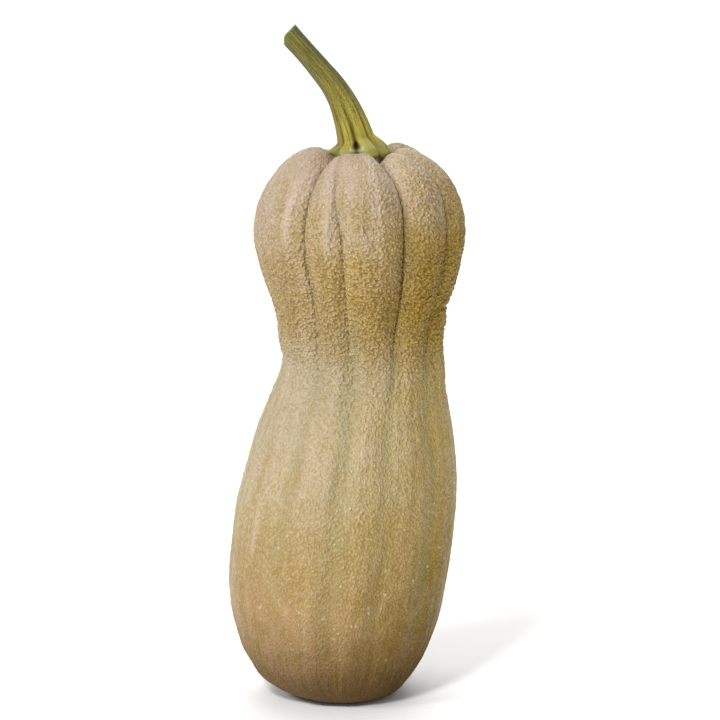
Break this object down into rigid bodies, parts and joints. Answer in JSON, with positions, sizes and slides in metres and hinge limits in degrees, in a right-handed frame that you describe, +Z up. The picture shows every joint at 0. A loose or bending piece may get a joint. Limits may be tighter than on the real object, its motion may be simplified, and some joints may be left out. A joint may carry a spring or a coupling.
{
  "type": "butternut squash",
  "caption": "Whole wrinkled butternut squash with a waisted, ribbed and bumpy tan skin and a curved green stem, standing upright on its blossom end.",
  "frame": {"origin": "centre of the flat face the fruit rests on, at the blossom end", "axes": "+Z up from the rest face to the stem, -Y towards the picture's viewer, +X to the viewer's right"},
  "size_m": [0.1271, 0.1201, 0.3673],
  "materials": {
    "skin": "matte, waxy and bumpy",
    "stem": "satin, ridged along its length"
  },
  "bodies": {
    "root": {"fruit": "skin", "stem": "stem"}
  },
  "joints": []
}
